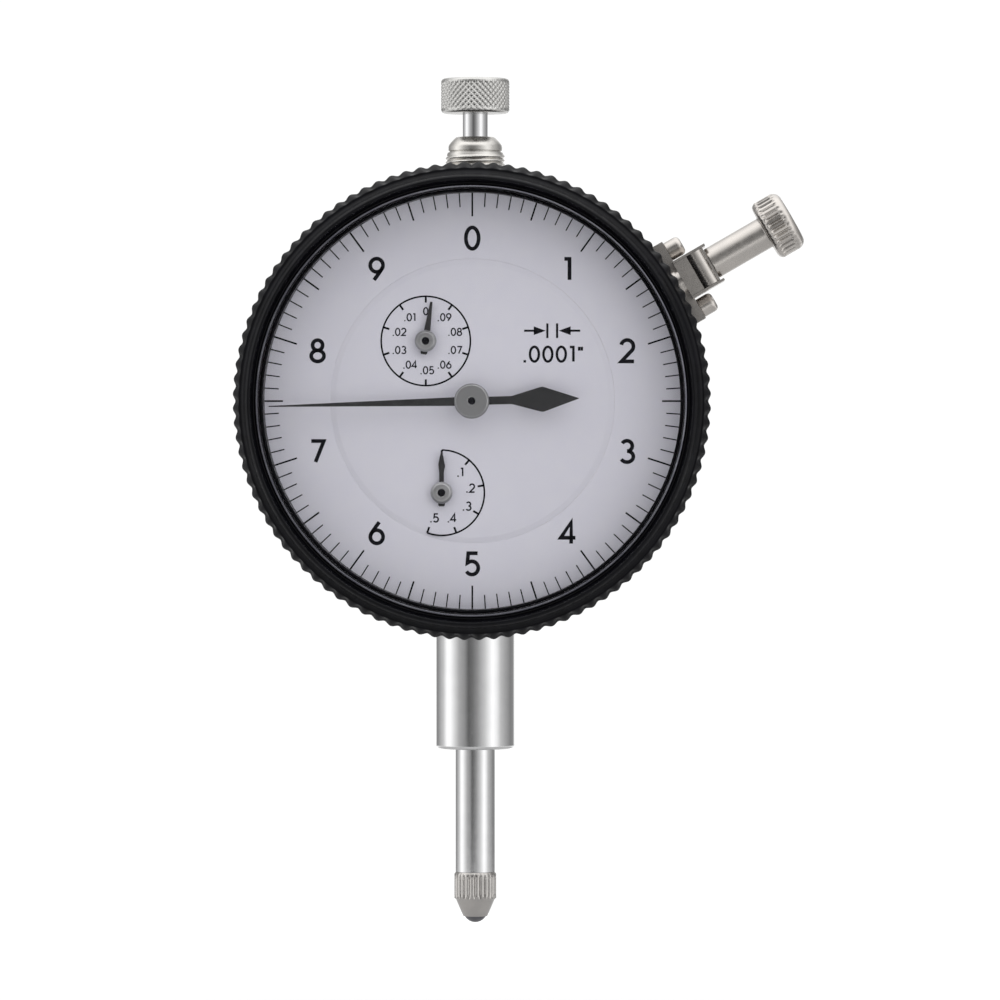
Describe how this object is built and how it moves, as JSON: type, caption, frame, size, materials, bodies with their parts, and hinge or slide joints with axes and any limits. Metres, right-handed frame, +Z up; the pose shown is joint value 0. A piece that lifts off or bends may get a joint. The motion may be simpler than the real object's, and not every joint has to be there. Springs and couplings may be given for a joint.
{
  "type": "dial indicator",
  "caption": "Plunger dial indicator with knurled rotating bezel, revolution counters, clamp screw, stem and lug back.",
  "frame": {"origin": "stem axis at the stem's lower end face", "axes": "+Z up along the stem and spindle, dial faces -Y, +X to the right when facing the dial"},
  "size_m": [0.0682, 0.0332, 0.1026],
  "materials": {
    "black_case": "satin black lacquer",
    "black_bezel": "satin black anodised",
    "rubber_seal": "matte",
    "steel": "ground and polished",
    "nickel": "satin nickel",
    "carbide": "polished carbide",
    "spring_steel": "blued and bright",
    "brass": "fine ground",
    "jewel": "polished synthetic ruby",
    "dial_face": "matte pale lavender grey",
    "pointer_black": "matte black",
    "crystal": "clear and polished"
  },
  "bodies": {
    "root": {"back_cover": "black_case", "back_cover_screws": "steel", "bezel_snap_ring": "steel", "bridge_jewel": "jewel", "bridge_screws": "steel", "case": "black_case", "clamp_bracket": "nickel", "clamp_retaining_pin": "steel", "clamp_screws": "nickel", "cover_gasket": "rubber_seal", "dial_feet": "brass", "front_jewels": "jewel", "guide_screws": "steel", "hairspring": "spring_steel", "hairspring_stud": "steel", "inner_dial": "dial_face", "movement_front_plate": "brass", "movement_pillars": "brass", "movement_rear_plate": "brass", "pillar_screws": "steel", "pinion_bridge": "brass", "plate_screws": "steel", "rack_guide": "brass", "rear_jewels": "jewel", "return_spring": "spring_steel", "spring_anchor_post": "steel", "stem": "steel", "stem_bushing": "brass", "upper_bushing": "steel"},
    "spindle_body": {"spindle": "steel", "guide_pin": "steel", "contact_point": "steel", "contact_ball": "carbide", "lifting_knob": "nickel"},
    "rack_arbor": {"rack_pinion": "steel", "rack_wheel": "brass"},
    "second_arbor_body": {"second_arbor": "steel", "second_rear_pinion": "steel", "second_front_pinion": "steel", "second_wheel": "brass"},
    "centre_arbor": {"centre_pinion": "steel", "main_pointer": "pointer_black", "main_pointer_hub": "nickel"},
    "upper_counter": {"upper_arbor": "steel", "upper_wheel": "brass", "hairspring_collet": "brass", "upper_pointer": "pointer_black", "upper_pointer_hub": "nickel"},
    "lower_counter": {"lower_arbor": "steel", "lower_wheel": "brass", "lower_pointer": "pointer_black", "lower_pointer_hub": "nickel"},
    "bezel_body": {"bezel": "black_bezel", "crystal": "crystal", "bezel_spacer_ring": "black_bezel", "scale_ring": "dial_face"},
    "shoe_body": {"clamp_shoe": "nickel"},
    "thumb_screw_body": {"thumb_screw": "nickel"}
  },
  "joints": [
    {"name": "spindle_slide", "type": "slide", "parent": "root", "child": "spindle_body", "axis": [0, 0, 1], "range_m": [0, 0.01283], "stiffness_N_per_m": 12, "springref_m": -0.03, "deforming": ["return_spring"]},
    {"name": "pointer_spin", "type": "hinge", "parent": "root", "child": "centre_arbor", "pos_m": [0, 0, 0.0421], "axis": [0, 1, 0], "range_deg": [0, 18181.5]},
    {"name": "rack_pinion_spin", "type": "hinge", "parent": "root", "child": "rack_arbor", "pos_m": [0.00162, 0, 0.03193], "axis": [0, 1, 0], "range_deg": [0, 454.6]},
    {"name": "second_arbor_spin", "type": "hinge", "parent": "root", "child": "second_arbor_body", "pos_m": [0.0056, 0, 0.03496], "axis": [0, 1, 0], "range_deg": [-1818.1, 0]},
    {"name": "upper_counter_spin", "type": "hinge", "parent": "root", "child": "upper_counter", "pos_m": [-0.00555, 0, 0.04928], "axis": [0, 1, 0], "range_deg": [-1818.1, 0]},
    {"name": "lower_counter_spin", "type": "hinge", "parent": "root", "child": "lower_counter", "pos_m": [-0.00365, 0, 0.03115], "axis": [0, 1, 0], "range_deg": [0, 202.1]},
    {"name": "bezel_spin", "type": "hinge", "parent": "root", "child": "bezel_body", "pos_m": [0, 0, 0.0421], "axis": [0, 1, 0], "continuous": true},
    {"name": "shoe_slide", "type": "slide", "parent": "root", "child": "shoe_body", "axis": [-0.866, 0, -0.5], "range_m": [-0.0003, 0.0003]},
    {"name": "thumb_screw_spin", "type": "hinge", "parent": "root", "child": "thumb_screw_body", "pos_m": [0.02598, -0.0062, 0.0571], "axis": [-0.866, 0, -0.5], "range_deg": [-216.5, 216.5]}
  ],
  "couplings": [
    {"joint": "pointer_spin", "follows": "spindle_slide", "rad_per_m": 24737},
    {"joint": "rack_pinion_spin", "follows": "spindle_slide", "rad_per_m": 618.42},
    {"joint": "second_arbor_spin", "follows": "spindle_slide", "rad_per_m": -2473.7},
    {"joint": "upper_counter_spin", "follows": "spindle_slide", "rad_per_m": -2473.7},
    {"joint": "lower_counter_spin", "follows": "spindle_slide", "rad_per_m": 274.86},
    {"joint": "thumb_screw_spin", "follows": "shoe_slide", "rad_per_m": 12566}
  ]
}
